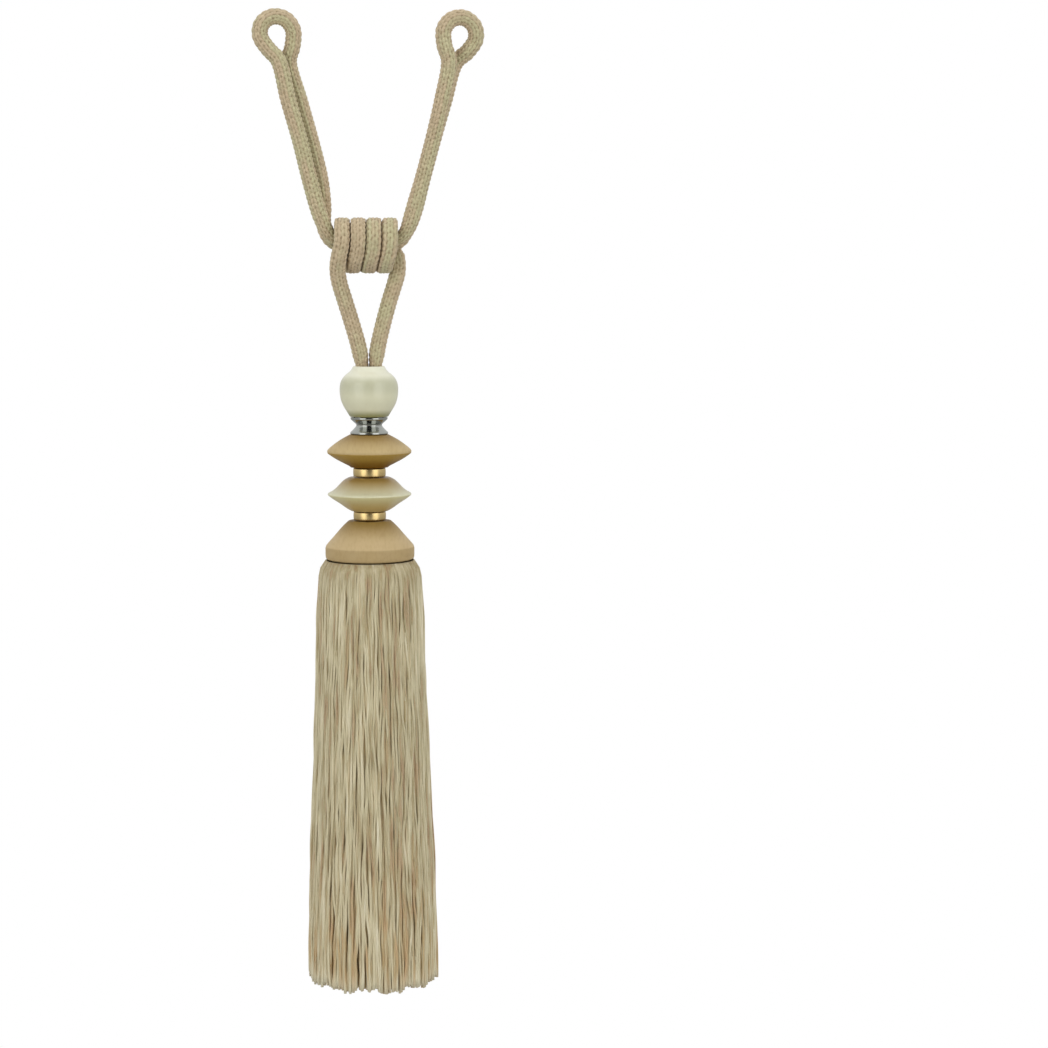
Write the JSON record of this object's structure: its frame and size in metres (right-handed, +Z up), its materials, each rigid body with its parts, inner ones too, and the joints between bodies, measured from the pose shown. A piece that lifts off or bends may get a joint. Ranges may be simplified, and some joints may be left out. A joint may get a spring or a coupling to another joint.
{
  "type": "curtain tieback tassel",
  "caption": "Yarn tassel under turned lacquered beads, hung by a wrapped knot from a doubled cord embrace with open eyes.",
  "frame": {"origin": "on the line of the two wall hooks, at the height where the inside of both cord eyes bears, straight over the tassel's middle", "axes": "+Z up along the tassel's axis, +X towards the right-hand eye, -Y towards the viewer, out of the wall"},
  "size_m": [0.1057, 0.0622, 0.4557],
  "materials": {
    "cord_yarn": "matte plaited yarn",
    "skirt_yarn": "soft spun yarn with a faint sheen",
    "ivory_lacquer": "satin ivory lacquer",
    "cream_lacquer": "satin cream lacquer",
    "beech": "waxed turned wood",
    "brass": "satin polish",
    "chrome": "polished"
  },
  "bodies": {
    "root": {"embrace_cord": "cord_yarn", "hanger_cord": "cord_yarn", "bead": "ivory_lacquer", "spool": "chrome", "disc_upper": "beech", "ring_upper": "brass", "disc_lower": "cream_lacquer", "ring_lower": "brass", "cap": "beech", "skirt": "skirt_yarn"}
  },
  "joints": []
}
